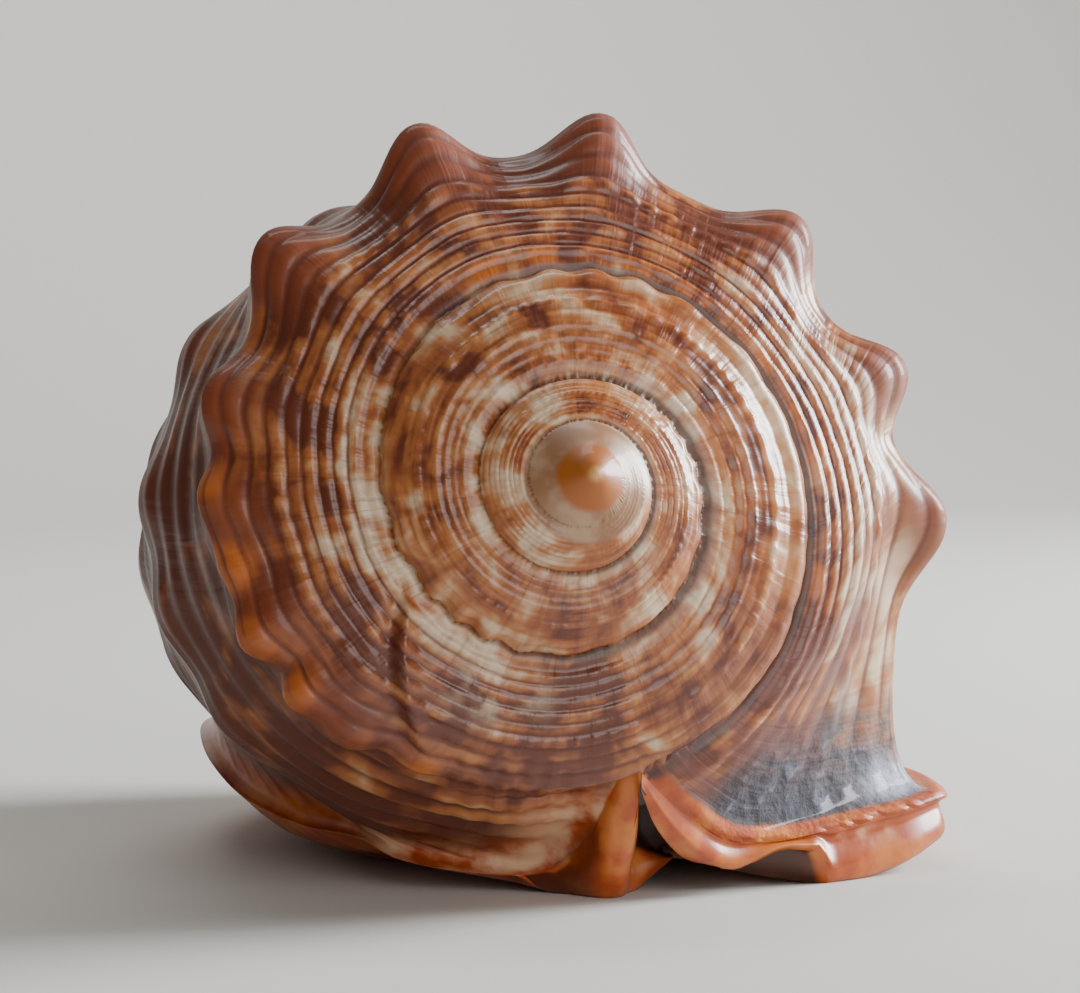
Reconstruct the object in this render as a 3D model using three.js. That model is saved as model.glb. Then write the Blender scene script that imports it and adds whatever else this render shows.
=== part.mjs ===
// A red helmet shell at rest on its mouth: spire toward -Y, lip toward +X, millimetres, +Z up.
import * as THREE from 'three';
import { ParametricGeometry } from 'three/addons/geometries/ParametricGeometry.js';
import { mergeGeometries, mergeVertices } from 'three/addons/utils/BufferGeometryUtils.js';

const { clamp, degToRad, lerp, smoothstep } = THREE.MathUtils;

// How the coiling axis lies over the table.
const AXIS_TILT = 13;
const APEX_HEIGHT = 62;
const CANAL_END = 146;
const JUNCTION_CLOCK = 165;

// Grid of the wall: columns go round with growth, rows go from the suture down to the canal.
const COLUMNS = 76;
const RAMP_ROWS = 6;
const FLANK_ROWS = 20;
const WALL_ROWS = RAMP_ROWS + FLANK_ROWS;
const SPIRE_TURNS = 3;
const MOUTH_ROWS = 2 * WALL_ROWS;

// Suture line as [degrees of growth, radius, depth under the apex]. Growth is zero where the lip
// meets the spire; from there on the line is the shoulder of the last whorl.
const SUTURE = [
  [-1440, 0, 0], [-1330, 1.8, 0.25], [-1240, 3.4, 0.8], [-1150, 5, 1.5], [-1060, 6.6, 2.2],
  [-973, 8, 2.9], [-879, 8.8, 3.4], [-790, 9.9, 4], [-708, 12.2, 5.1], [-613, 14.2, 6.2],
  [-519, 15.6, 7], [-430, 18.6, 8.6], [-349, 22.8, 10.6], [-252, 26.8, 12.6], [-156, 34, 16.1],
  [-67, 37.2, 17.9], [-30, 39.2, 19], [0, 40, 19.5], [71, 43.5, 23], [110, 46, 25.5],
  [156, 51, 28], [212, 54.5, 31], [270, 56.5, 32.5], [294, 58.5, 33.2], [360, 61.5, 35],
];
const WHORL_BULGE = 0.13;

// Flank of the last whorl: girth by growth, and its taper toward the canal.
const GIRTH = [
  [-360, 47.5], [-300, 50], [-255, 53.5], [-215, 54], [-150, 54.5], [-90, 55], [0, 57],
];
const TAPER = [
  [0, 1], [0.17, 1], [0.38, 0.96], [0.58, 0.82], [0.76, 0.57], [0.88, 0.34], [1, 0.22],
];
const SHOULDER_REACH = 0.1;
const CANAL_LIFT = 9;

// Knobs of the shoulder as [degrees of growth, height], and the fainter rows under it.
const SHOULDER_KNOBS = [
  [-294, 3], [-275, 3.5], [-255, 4], [-236, 4.5], [-210, 6], [-181, 7], [-153, 7], [-121, 6.5],
  [-96, 6], [-71, 6],
];
const KNOB_SPREAD = 6.2;
const KNOB_LEAN = -0.45;
const LOWER_KNOB_ROWS = [
  { depth: 24, height: 2.6, shift: -12 },
  { depth: 45, height: 2, shift: 0 },
  { depth: 63, height: 1.3, shift: -12 },
];

// Outer lip: edge points as [share of the rows, x, y, z, thickness], over the ramp and the flank.
const LIP_SWEEP = 42;
const LIP_ZONE = 56;
const LIP_FLARE = 9;
const LIP_HEAD = [
  [0, 10.2, 11, 20, 0.5], [0.14, 13.9, 13.5, 17.3, 2.2], [0.28, 18.2, 16.5, 14.9, 5],
  [0.42, 26.2, 21, 9.4, 4.6], [0.56, 35.3, 24.5, 8.1, 4.4], [0.7, 45, 28, 8.7, 8],
  [0.82, 53, 31, 9.6, 8.6], [0.92, 60.5, 34, 10.2, 8], [1, 66.5, 38, 11, 6.5],
];
const LIP_SIDE = [
  [0, 66.5, 38, 11, 6.5], [0.08, 68.2, 46, 11.3, 6], [0.16, 68, 54, 12, 6],
  [0.27, 65.8, 64, 12, 6], [0.42, 62, 80, 10.5, 6], [0.58, 55, 97, 8.5, 6],
  [0.74, 45.5, 114, 7.5, 5.5], [0.88, 33, 131, 9, 5], [1, 20, 144, 16, 4],
];

// Shield over the inner side of the mouth: free edge and how far round the flank it spreads.
const SHIELD_ZONE = 60;
const SHIELD_FLARE = 6;
const SHIELD_THICKNESS = 3;
const SHIELD_EDGE = [
  [0, 10.2, 11, 20], [0.03, 8.2, 13, 19.3], [0.06, 7.2, 15.5, 16.5], [0.09, 6.4, 18.5, 12.8],
  [0.12, 5.9, 21, 9.9], [0.15, 3.7, 24, 6.6], [0.18, 0.8, 27, 3.8], [0.21, -4, 29, 3],
  [0.25, -12, 31, 3.6], [0.29, -20, 35, 5], [0.33, -24, 44, 7], [0.38, -30, 53, 7.4],
  [0.43, -35, 60, 9], [0.48, -38.5, 68, 11], [0.54, -41, 78, 14.5], [0.6, -41, 88, 17],
  [0.68, -38.5, 101, 18], [0.76, -33, 115, 17.5], [0.85, -24.5, 129, 18], [0.93, -14, 140, 20],
  [1, -5, 147, 24],
];
const FOLD_PLACE = 27;
const FOLD_LENGTH = 6;
const FOLD_DROP = 5;
const SHIELD_SWEEP = [
  [0, 0], [0.09, 5], [0.18, 16], [0.25, 28], [0.33, 44], [0.43, 57], [0.54, 70], [0.7, 75], [1, 75],
];

// Mouth slit as [y, x of its middle, half width, depth], and its teeth.
const SLIT = [
  [11, 10.2, 0, 0], [16, 13.5, 1.5, 4], [22, 17, 3, 9], [30, 18.5, 4, 15], [45, 18, 5, 22],
  [70, 15.5, 5.5, 26], [95, 12.5, 5, 24], [120, 9.5, 4.5, 19], [138, 8, 4.5, 19],
  [147, 7.5, 4.5, 21],
];
const SLIT_EDGE_HEIGHT = 4;
const TOOTH = 1.2;

const SHELL_COLOUR = '#8a4526';

const POSE = new THREE.Matrix4().makeRotationX(-degToRad(AXIS_TILT));
POSE.setPosition(0, 0, APEX_HEIGHT);

// Smooth value of a table of [position, value, ...] rows.
function tableCurve(rows) {
  const positions = rows.map((row) => row[0]);
  const values = rows.flatMap((row) => row.slice(1));
  const curve = new THREE.CubicInterpolant(positions, values, rows[0].length - 1);
  return (position) => [...curve.evaluate(position)];
}

const suture = tableCurve(SUTURE);
const girth = tableCurve(GIRTH);
const taper = tableCurve(TAPER);
const lipHead = tableCurve(LIP_HEAD);
const lipSide = tableCurve(LIP_SIDE);
const shieldEdge = tableCurve(SHIELD_EDGE);
const shieldSweep = tableCurve(SHIELD_SWEEP);
const slit = tableCurve(SLIT);

// A point of the wall in the coiling frame: [radius, depth].
function rampPoint(turn, across) {
  const [innerRadius, innerDepth] = suture(turn);
  const [outerRadius, outerDepth] = suture(turn + 360);
  const grown = smoothstep(turn, -360 * (1 + SPIRE_TURNS), -360 * SPIRE_TURNS);
  const arch = grown * Math.sin(Math.PI * across ** 1.5);
  const bulge = WHORL_BULGE * (outerRadius - innerRadius) * arch;
  return [lerp(innerRadius, outerRadius, across), lerp(innerDepth, outerDepth, across) - bulge];
}

function flankPoint(turn, along) {
  const [radius, depth] = suture(turn + 360);
  const [middle] = girth(turn);
  const shoulder = (radius - middle) * Math.exp(-((along / SHOULDER_REACH) ** 2));
  return [middle * taper(along)[0] + shoulder, lerp(depth, CANAL_END, along)];
}

// Height of the knobs over the wall at a point of the last whorl.
function knobHeight(turn, radius, depth) {
  const below = depth - suture(turn + 360)[1];
  let height = 0;
  SHOULDER_KNOBS.forEach(([knobTurn, knobSize]) => {
    const bump = (shift, drop) => {
      const around = degToRad(turn - knobTurn - shift) * radius;
      return Math.exp(-((Math.hypot(around, below - drop) / KNOB_SPREAD) ** 3));
    };
    height += knobSize * bump(0, 0);
    LOWER_KNOB_ROWS.forEach((row) => {
      height += row.height * Math.sqrt(knobSize / 6) * bump(row.shift, row.depth);
    });
  });
  return height;
}

function place(turn, [radius, depth]) {
  const clock = degToRad(JUNCTION_CLOCK + turn);
  const lift = CANAL_LIFT * smoothstep(depth, 0.8 * CANAL_END, CANAL_END);
  const height = radius * Math.cos(clock) + lift;
  return new THREE.Vector3(radius * Math.sin(clock), depth, height).applyMatrix4(POSE);
}

function wallPoint(turn, row) {
  if (row <= RAMP_ROWS) {
    return rampPoint(turn, row / RAMP_ROWS);
  }
  return flankPoint(turn, (row - RAMP_ROWS) / FLANK_ROWS);
}

function flankShare(row) {
  return clamp((row - RAMP_ROWS) / FLANK_ROWS, 0, 1);
}

// Columns lean back along the lip and forward along the shield.
function leanTurn(growth, row) {
  const late = smoothstep(growth, -150, 0) * smoothstep(row, 0, RAMP_ROWS);
  const early = 1 - smoothstep(growth, -360, -210);
  return growth - LIP_SWEEP * late + shieldSweep(flankShare(row))[0] * early;
}

function bareWall(growth, row) {
  const turn = leanTurn(growth, row);
  return place(turn, wallPoint(turn, row));
}

function lipEdge(row) {
  const edge = row <= RAMP_ROWS ? lipHead(row / RAMP_ROWS) : lipSide(flankShare(row));
  return new THREE.Vector3(...edge.slice(0, 3));
}

function lipThickness(row) {
  return (row <= RAMP_ROWS ? lipHead(row / RAMP_ROWS) : lipSide(flankShare(row)))[3];
}

function shieldRim(row) {
  return new THREE.Vector3(...shieldEdge(flankShare(row)));
}

// Level direction that points out over an edge, to the right hand of its run for side 1.
function outward(edge, row, side) {
  const run = edge(Math.min(row + 0.5, WALL_ROWS)).sub(edge(Math.max(row - 0.5, 0)));
  return new THREE.Vector3(run.y * side, -run.x * side, 0).normalize();
}

// Carries a wall point out to an edge: a bend that leaves the wall smoothly and ends level.
function flarePoint(point, share, row, spec) {
  const target = spec.edge(row);
  const straight = target.clone().sub(bareWall(spec.end, row)).multiplyScalar(share ** 3).add(point);
  const leave = bareWall(spec.start, row);
  const heading = bareWall(lerp(spec.start, spec.end, 0.02), row).sub(leave).divideScalar(0.045);
  const arrive = target.clone().addScaledVector(outward(spec.edge, row, spec.side), -spec.flare);
  const bend = new THREE.CubicBezierCurve3(leave, heading.add(leave), arrive, target);
  return straight.lerp(bend.getPoint(share), smoothstep(row, spec.firstRow, spec.firstRow + spec.settle));
}

const LIP_SPEC = {
  edge: lipEdge, start: -LIP_ZONE, end: 0, side: 1, flare: LIP_FLARE, firstRow: 0, settle: RAMP_ROWS,
};
const SHIELD_SPEC = {
  edge: shieldRim, start: SHIELD_ZONE - 360, end: -360, side: -1, flare: SHIELD_FLARE,
  firstRow: RAMP_ROWS, settle: 3,
};

// The last whorl, drawn out to the lip at its end and to the shield at its start.
function lastWhorl(column, row) {
  const growth = 360 * (column / COLUMNS - 1);
  const turn = leanTurn(growth, row);
  const profile = wallPoint(turn, row);
  const lip = clamp(1 + growth / LIP_ZONE, 0, 1);
  const shield = clamp(1 - (growth + 360) / SHIELD_ZONE, 0, 1);
  let point = place(turn, profile);
  if (lip > 0 && row > 0) {
    point = flarePoint(point, lip, row, LIP_SPEC);
  }
  if (shield > 0 && row > RAMP_ROWS) {
    point = flarePoint(point, shield, row, SHIELD_SPEC);
  }
  const fade = (1 - lip ** 2) * (1 - shield) * smoothstep(row, 0, 2);
  const knob = fade * knobHeight(turn, ...profile);
  const rise = place(turn, [knob, KNOB_LEAN * knob]).sub(place(turn, [0, 0]));
  point.add(rise);
  point.z = Math.max(point.z, 0);
  return point;
}

// Cross section of the mouth from the lip edge through the slit to the shield edge.
const LIP_SHARES = [0, 0.03, 0.1, 0.25, 0.4, 0.55, 0.72, 0.88, 1];
const SHIELD_SHARES = [0, 0.12, 0.26, 0.4, 0.55, 0.7, 0.85, 0.95, 1];
const SLIT_WALL = [
  [1, 0.5, 0.15], [1, 3, 0.38], [1, 6, 0.7], [1, 3, 0.94], [0, 0, 1], [-1, 1, 0.9], [-1, 2.5, 0.62],
  [-1, 1.5, 0.32], [-1, 0.4, 0.15],
];
const MOUTH_COLUMNS = LIP_SHARES.length + SLIT_WALL.length + SHIELD_SHARES.length - 1;

function mouthSection(mouthRow) {
  const lipRow = (mouthRow / MOUTH_ROWS) * WALL_ROWS;
  const lip = lipEdge(lipRow);
  const shield = new THREE.Vector3(...shieldEdge(mouthRow / MOUTH_ROWS));
  const y = (lip.y + shield.y) / 2;
  const [middle, half, depth] = slit(y);
  const open = clamp((lip.x - shield.x) / 40, 0, 1);
  const back = smoothstep(y, 30, 75) * (1 - smoothstep(y, 112, 140));
  const fold = FOLD_DROP * Math.exp(-(((y - FOLD_PLACE) / FOLD_LENGTH) ** 2));
  const canal = CANAL_LIFT * smoothstep(y, 115, 147);
  const height = lerp((lip.z + shield.z) / 2 - 2, SLIT_EDGE_HEIGHT, open) + canal;
  const tooth = mouthRow % 2 ? TOOTH * open * smoothstep(MOUTH_ROWS - mouthRow, 1, 6) : 0;
  const lipSideEdge = new THREE.Vector3(middle + half - tooth, y, height);
  const innerEdge = new THREE.Vector3(middle - half + tooth * 0.7, y, height);
  const points = [];
  LIP_SHARES.forEach((share) => {
    const point = lip.clone().lerp(lipSideEdge, share);
    const rim = lip.z - lipThickness(lipRow) * smoothstep(share, 0, 0.1);
    const sag = open * (0.5 + 5 * back) * Math.sin(Math.PI * share);
    point.z = lerp(rim, height, clamp((share - 0.1) / 0.9, 0, 1)) - sag;
    points.push(point);
  });
  SLIT_WALL.forEach(([side, out, rise]) => {
    const edge = side > 0 ? lipSideEdge : innerEdge;
    const x = side === 0 ? middle : edge.x + side * out * open;
    points.push(new THREE.Vector3(x, y, height + depth * rise));
  });
  SHIELD_SHARES.forEach((share) => {
    const point = innerEdge.clone().lerp(shield, share);
    const full = smoothstep(1 - share, 0, 0.12) * smoothstep(share, 0, 0.15);
    const sag = (0.5 * shield.z + 1) * Math.sin(Math.PI * share ** 0.75);
    point.z -= open * (SHIELD_THICKNESS * full * (0.3 + 0.7 * back) + sag * back);
    point.z -= fold * Math.sin(Math.PI * share);
    points.push(point);
  });
  points.forEach((point) => {
    point.z = Math.max(point.z, 0);
  });
  return points;
}

// The patches of the skin, sharing their borders.
function nucleusPatch() {
  return new ParametricGeometry((u, v, target) => {
    const first = -360 * (1 + SPIRE_TURNS);
    const across = Math.round(u * RAMP_ROWS) / RAMP_ROWS;
    const turn = first + 360 * u;
    target.copy(v < 0.5 ? place(first, rampPoint(first, across)) : place(turn, suture(turn)));
  }, COLUMNS, 1);
}

function spirePatch() {
  const slices = SPIRE_TURNS * COLUMNS;
  return new ParametricGeometry((u, v, target) => {
    const turn = -360 * (1 + SPIRE_TURNS * (1 - u));
    target.copy(place(turn, rampPoint(turn, v)));
  }, slices, RAMP_ROWS);
}

function lastWhorlPatch() {
  return new ParametricGeometry((u, v, target) => {
    target.copy(lastWhorl(u * COLUMNS, Math.round(v * WALL_ROWS)));
  }, COLUMNS, WALL_ROWS);
}

function mouthPoint(mouthRow, column) {
  if (mouthRow === 0) {
    return lastWhorl(COLUMNS, 0);
  }
  if (column === 0) {
    return lastWhorl(COLUMNS, Math.round((mouthRow / MOUTH_ROWS) * WALL_ROWS));
  }
  if (column === MOUTH_COLUMNS) {
    return lastWhorl(0, RAMP_ROWS + Math.round((mouthRow / MOUTH_ROWS) * FLANK_ROWS));
  }
  return mouthSection(mouthRow)[column];
}

function mouthPatch() {
  return new ParametricGeometry((u, v, target) => {
    target.copy(mouthPoint(Math.round(v * MOUTH_ROWS), Math.round(u * MOUTH_COLUMNS)));
  }, MOUTH_COLUMNS, MOUTH_ROWS);
}

function canalPatch() {
  return new ParametricGeometry((u, v, target) => {
    const column = Math.round(u * COLUMNS);
    const inner = MOUTH_COLUMNS - Math.round((column / COLUMNS) * MOUTH_COLUMNS);
    target.copy(v < 0.5 ? lastWhorl(column, WALL_ROWS) : mouthPoint(MOUTH_ROWS, inner));
  }, COLUMNS, 1);
}

// Joins the patches at their shared borders and drops the triangles that fell flat.
function weld(patches) {
  patches.forEach((patch) => {
    patch.deleteAttribute('normal');
    patch.deleteAttribute('uv');
  });
  const skin = mergeVertices(mergeGeometries(patches), 0.01);
  const corners = skin.getIndex().array;
  const kept = [];
  for (let start = 0; start < corners.length; start += 3) {
    const [a, b, c] = corners.subarray(start, start + 3);
    if (a !== b && b !== c && c !== a) {
      kept.push(a, b, c);
    }
  }
  skin.setIndex(kept);
  return skin;
}

function shellGeometry() {
  const skin = weld([nucleusPatch(), spirePatch(), lastWhorlPatch(), mouthPatch(), canalPatch()]);
  skin.computeBoundingBox();
  const centre = skin.boundingBox.getCenter(new THREE.Vector3());
  skin.translate(-centre.x, -centre.y, -skin.boundingBox.min.z);
  skin.computeVertexNormals();
  return skin;
}

function build() {
  const material = new THREE.MeshStandardMaterial({ color: SHELL_COLOUR, roughness: 0.35 });
  const shell = new THREE.Mesh(shellGeometry(), material);
  shell.name = 'shell';
  const group = new THREE.Group();
  group.name = 'red_helmet_shell';
  group.add(shell);
  return group;
}

export default build();
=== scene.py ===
"""A red helmet shell at rest on its mouth, with its cords, knobs, lip and shield in full relief."""

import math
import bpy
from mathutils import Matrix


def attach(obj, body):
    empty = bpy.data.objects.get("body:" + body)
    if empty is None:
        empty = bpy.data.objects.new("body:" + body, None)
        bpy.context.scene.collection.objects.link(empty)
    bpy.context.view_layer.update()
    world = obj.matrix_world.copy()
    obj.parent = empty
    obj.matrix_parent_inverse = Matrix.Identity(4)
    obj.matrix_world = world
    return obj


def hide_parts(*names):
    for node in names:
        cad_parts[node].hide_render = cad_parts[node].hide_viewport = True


bl_info = {
    "name": "Red Helmet Shell",
    "version": (1, 0, 0),
    "blender": (4, 5, 0),
    "location": "View3D > Sidebar > Shell",
    "description": "Models a red helmet shell from its coiling line, with its relief and its glaze",
    "category": "Add Mesh",
}

import bpy
import numpy as np
from mathutils import Vector

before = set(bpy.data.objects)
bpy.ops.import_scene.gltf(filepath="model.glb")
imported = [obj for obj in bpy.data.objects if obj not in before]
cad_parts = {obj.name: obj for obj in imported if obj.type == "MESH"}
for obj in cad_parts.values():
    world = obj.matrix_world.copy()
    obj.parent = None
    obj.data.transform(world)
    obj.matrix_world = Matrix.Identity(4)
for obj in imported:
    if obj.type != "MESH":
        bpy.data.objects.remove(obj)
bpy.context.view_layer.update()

MM = 0.001
WELD_DISTANCE = 1e-5

# Apex of the spire in the frame in millimetres, tilt of the coiling axis in degrees, depth of the
# canal's end, and the clock angle at which the lip meets the spire.
APEX = (-6.531, -73.469, 62.0)
AXIS_TILT = 13.0
CANAL_END = 146.0
JUNCTION_CLOCK = 165.0

# Grid of the skin. A wall place runs from 0 at the suture over 1 at the shoulder to 2 at the canal.
COLUMNS = 340
NUCLEUS_ROWS = 10
SPIRE_ROWS = 30
RAMP_ROWS = 56
FLANK_ROWS = 96
SPIRE_TURNS = 3
SPIRE_START = -360.0 * (1 + SPIRE_TURNS)

# Suture as (degrees of growth, radius, depth under the apex). Growth is zero where the lip meets
# the spire; from there on the line is the shoulder of the last whorl.
SUTURE = (
    (-1440, 0.625, 0.205), (-1330, 1.8, 0.25), (-1240, 3.4, 0.8), (-1150, 5, 1.5),
    (-1060, 6.6, 2.2), (-973, 8, 2.9), (-879, 8.8, 3.4), (-790, 9.9, 4), (-708, 12.2, 5.1),
    (-613, 14.2, 6.2), (-519, 15.6, 7), (-430, 18.6, 8.6), (-349, 22.8, 10.6), (-252, 26.8, 12.6),
    (-156, 34, 16.1), (-67, 37.2, 17.9), (-30, 39.2, 19), (0, 40, 19.5), (71, 43.5, 23),
    (110, 46, 25.5), (156, 51, 28), (212, 54.5, 31), (270, 56.5, 32.5), (294, 58.5, 33.2),
    (360, 61.5, 35),
)

# Bulge of a whorl between its sutures, waves of the suture in a turn, and the dome of the apex.
WHORL_BULGE = 0.13
SUTURE_WAVES = 25
NUCLEUS_RISE = 3.6
NUCLEUS_REACH = 5.2

# Flank of the last whorl: girth by growth, and its taper toward the canal.
GIRTH = ((-360, 47.5), (-300, 50), (-255, 53.5), (-215, 54), (-150, 54.5), (-90, 55), (0, 57))
TAPER = ((0, 1), (0.17, 1), (0.38, 0.96), (0.58, 0.82), (0.76, 0.57), (0.88, 0.34), (1, 0.22))
SHOULDER_REACH = 0.1
CANAL_LIFT = 9.0
CANAL_ROWS = 5
CANAL_ROUND = 2.2
CANAL_WIDTH = 8.0

# Knobs of the shoulder as (degrees of growth, height, reach), and the rows under it as (drop,
# height, shift in degrees).
SHOULDER_KNOBS = (
    (-294, 3, 6.6), (-275, 3.5, 6.6), (-255, 4, 6.6), (-236, 4.5, 6.6), (-210, 6, 6.6),
    (-181, 7, 6.6), (-153, 7, 6.6), (-121, 6.5, 6.6), (-96, 6, 6.2), (-78, 6.5, 4.4),
)
KNOB_CROWN = 2.2
KNOB_LEAN = -0.45
LOWER_KNOB_ROWS = ((24, 2.6, -12), (45, 2, 0), (63, 1.3, -12))

# Outer lip: edge points as (place, x, y, z, thickness), over the ramp and then down the flank.
LIP_SWEEP = 42.0
LIP_ZONE = 56.0
LIP_FLARE = 9.0
GUTTER_FLARE = 7.0
LIP_HEAD_SHARE = 6 / 26
LIP_HEAD = (
    (0, 10.2, 11, 20, 0.5), (0.14, 14.1, 13.5, 16.4, 2.2), (0.28, 18.8, 16.5, 12.8, 3.6),
    (0.42, 26.2, 21, 8.2, 4), (0.56, 35.3, 24.5, 7.2, 5.6), (0.7, 45, 28, 8, 8),
    (0.82, 53, 31, 9.2, 8.6), (0.92, 60.5, 34, 10.2, 8), (1, 66.5, 38, 11, 6.5),
)
LIP_SIDE = (
    (0, 66.5, 38, 11, 6.5), (0.08, 68.2, 46, 11.3, 6), (0.16, 68, 54, 12, 6),
    (0.27, 65.8, 64, 12, 6), (0.42, 62, 80, 10.5, 6), (0.58, 55, 97, 8.5, 6),
    (0.74, 45.5, 114, 7.5, 5.5), (0.88, 33, 131, 9, 5), (1, 20, 144, 16, 4),
)

# Shield over the inner side of the mouth: free edge, and how far round the flank it spreads.
SHIELD_ZONE = 60.0
SHIELD_FLARE = 6.0
SHIELD_THICKNESS = 3.0
SHIELD_EDGE = (
    (0, 10.2, 11, 20), (0.03, 8.2, 13, 19.3), (0.06, 7.2, 15.5, 16.5), (0.09, 6.4, 18.5, 12.8),
    (0.12, 5.9, 21, 9.9), (0.15, 3.7, 24, 6.6), (0.18, 0.8, 27, 3.8), (0.21, -4, 29, 3),
    (0.25, -12, 31, 3.6), (0.29, -20, 35, 5), (0.33, -24, 44, 7), (0.38, -30, 53, 7.4),
    (0.43, -35, 60, 9), (0.48, -38.5, 68, 11), (0.54, -41, 78, 14.5), (0.6, -41, 88, 17),
    (0.68, -38.5, 101, 18), (0.76, -33, 115, 17.5), (0.85, -24.5, 129, 18), (0.93, -14, 140, 20),
    (1, -5, 147, 24),
)
SHIELD_SWEEP = (
    (0, 0), (0.09, 5), (0.18, 16), (0.25, 28), (0.33, 44), (0.43, 57), (0.54, 70), (0.7, 75),
    (1, 75),
)
FOLD_PLACE = 27.0
FOLD_LENGTH = 6.0
FOLD_DROP = 5.0

# Mouth slit as (y, x of its middle, half width, depth), and the points of its section from the
# lip's edge to the shield's. A point of the slit's wall is (side, way out, share of the depth).
SLIT = (
    (11, 10.2, 0, 0), (15, 12.4, 1.2, 3), (19, 15, 2.9, 9), (25, 18.6, 5, 12), (29, 21, 2.4, 5),
    (32, 22, 0.7, 2), (36, 20.5, 2.5, 8), (45, 18, 5, 22), (70, 15.5, 5.5, 26),
    (95, 12.5, 5, 24), (120, 9.5, 4, 15), (138, 8, 3.4, 11), (147, 7.5, 3, 9),
)
SLIT_EDGE_HEIGHT = 4.0
LIP_SHARES = (0, 0.015, 0.03, 0.05, 0.25, 0.45, 0.65, 0.85, 1)
SHIELD_SHARES = (0, 0.12, 0.26, 0.4, 0.55, 0.7, 0.85, 0.95, 1)
SLIT_WALL = (
    (1, 0.5, 0.15), (1, 3, 0.38), (1, 6, 0.7), (1, 3, 0.94), (0, 0, 1), (-1, 1, 0.9),
    (-1, 2.5, 0.62), (-1, 1.5, 0.32), (-1, 0.4, 0.15),
)
SECTION_POINTS = len(LIP_SHARES) + len(SLIT_WALL) + len(SHIELD_SHARES)
SECTION_INDEX = np.concatenate((np.arange(0, 3, 0.25), np.arange(3, SECTION_POINTS - 0.9, 0.5)))

# Spiral cords of the ramp: how many, where they start, their height and the one with beads; cords
# of the flank; and the width and length of the last whorl that sizes are told against.
CORD_COUNT = 9
CORD_START = 0.1
CORD_HEIGHT = 0.75
BEADED_CORD = 5
FLANK_CORDS = 29
RAMP_WIDTH = 18.0
WHORL_LENGTH = 290.0

# Low relief of the last whorl and the mouth, and the spacing of its teeth, in millimetres.
OLD_LIP_HEIGHT = 1.5
RIB_HEIGHT = 0.22
NODULE_HEIGHT = 1.9
RIM_BEAD_HEIGHT = 0.7
HOLLOW_DEPTH = 1.4
FOLD_HEIGHT = 1.9
TOOTH_SPACING = 5.2
INNER_FOLD_SPACING = 6.1

# What the skin's points carry for the material: relief in millimetres, the rest as shares.
MARKS = (
    "relief", "cream", "crevice_shade", "knob", "orange", "glaze", "pits", "painted_sheen", "nucleus", "white",
    "cord_shade", "enamel_and_painted_light", "haze", "smooth",
)

# The photograph's frame in pixels, the camera's focal length in pixels, and where the apex falls.
FRAME_WIDTH, FRAME_HEIGHT = 1080, 993
FOCAL_LENGTH = 3300
APEX_PIXEL = (590, 478)
SENSOR_WIDTH = 36

# Paper sweep behind the shell, in metres: where it starts to rise, and its bend.
SWEEP_START = 0.9
SWEEP_RADIUS = 0.6


def linear(colour):
    """Linear RGBA of an sRGB hex colour."""
    channels = [int(colour[place:place + 2], 16) / 255 for place in (1, 3, 5)]
    return [*(c / 12.92 if c <= 0.04045 else ((c + 0.055) / 1.055) ** 2.4 for c in channels), 1.0]


def lerp(start, end, share):
    return start + (end - start) * share


def smoothstep(value, low, high):
    share = np.clip((value - low) / (high - low), 0, 1)
    return share * share * (3 - 2 * share)


def window(value, low, high, drop, end):
    """Rises from 0 to 1 between low and high, and falls to 0 again between drop and end."""
    return smoothstep(value, low, high) * (1 - smoothstep(value, drop, end))


def bell(value, middle, width):
    return np.exp(-(((value - middle) / width) ** 2))


def smooth_curve(places, values):
    """Curve through values at places, flat in curvature at its two ends."""
    last = len(places) - 1

    def curve(position):
        position = np.clip(np.asarray(position, dtype=float), places[0], places[-1])
        after = np.clip(np.searchsorted(places, position, side="right"), 1, last)
        before = after - 1
        earlier = np.where(before > 0, before - 1, after)
        later = np.where(after < last, after + 1, before)
        start, end = places[before], places[after]
        bend_in = (end - start) / 2 / (start - places[earlier])
        bend_out = (end - start) / 2 / (places[later] - end)
        p = (position - start) / (end - start)
        weights = (
            -bend_in * p * (p - 1) ** 2,
            (1 + bend_in) * p ** 3 - (1.5 + 2 * bend_in) * p ** 2 + (bend_in - 0.5) * p + 1,
            -(1 + bend_out) * p ** 3 + (1.5 + bend_out) * p ** 2 + 0.5 * p,
            bend_out * (p - 1) * p ** 2,
        )
        parts = zip(weights, (earlier, before, after, later))
        return np.moveaxis(sum(weight[..., None] * values[index] for weight, index in parts), -1, 0)

    return curve


def table_curve(rows):
    table = np.array(rows, dtype=float)
    return smooth_curve(table[:, 0], table[:, 1:])


suture_table = table_curve(SUTURE)
girth_table = table_curve(GIRTH)
taper_table = table_curve(TAPER)
lip_head_table = table_curve(LIP_HEAD)
lip_side_table = table_curve(LIP_SIDE)
shield_table = table_curve(SHIELD_EDGE)
sweep_table = table_curve(SHIELD_SWEEP)
slit_table = table_curve(SLIT)


def suture_wave(turn, form):
    """Low waves of the suture over its last turn and a half."""
    lasting = window(turn, -540, -380, -40, -10)
    angle = np.radians(turn) * SUTURE_WAVES
    swell = 0.6 + 0.4 * np.sin(np.radians(turn) * 2.3 + 1)
    return form.suture_wave / MM * lasting * swell * np.sin(angle + 1.6 * np.sin(angle / 5.3))


def whorl_length(turn):
    """Length along the middle of the whorls, as a share of the last whorl's."""
    steps = np.arange(SPIRE_START, 1, 2.0)
    radius = (suture_table(steps)[0] + suture_table(steps + 360)[0]) / 2
    lengths = np.cumsum(radius) * math.radians(2) / WHORL_LENGTH
    return np.interp(turn, steps, lengths)


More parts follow.
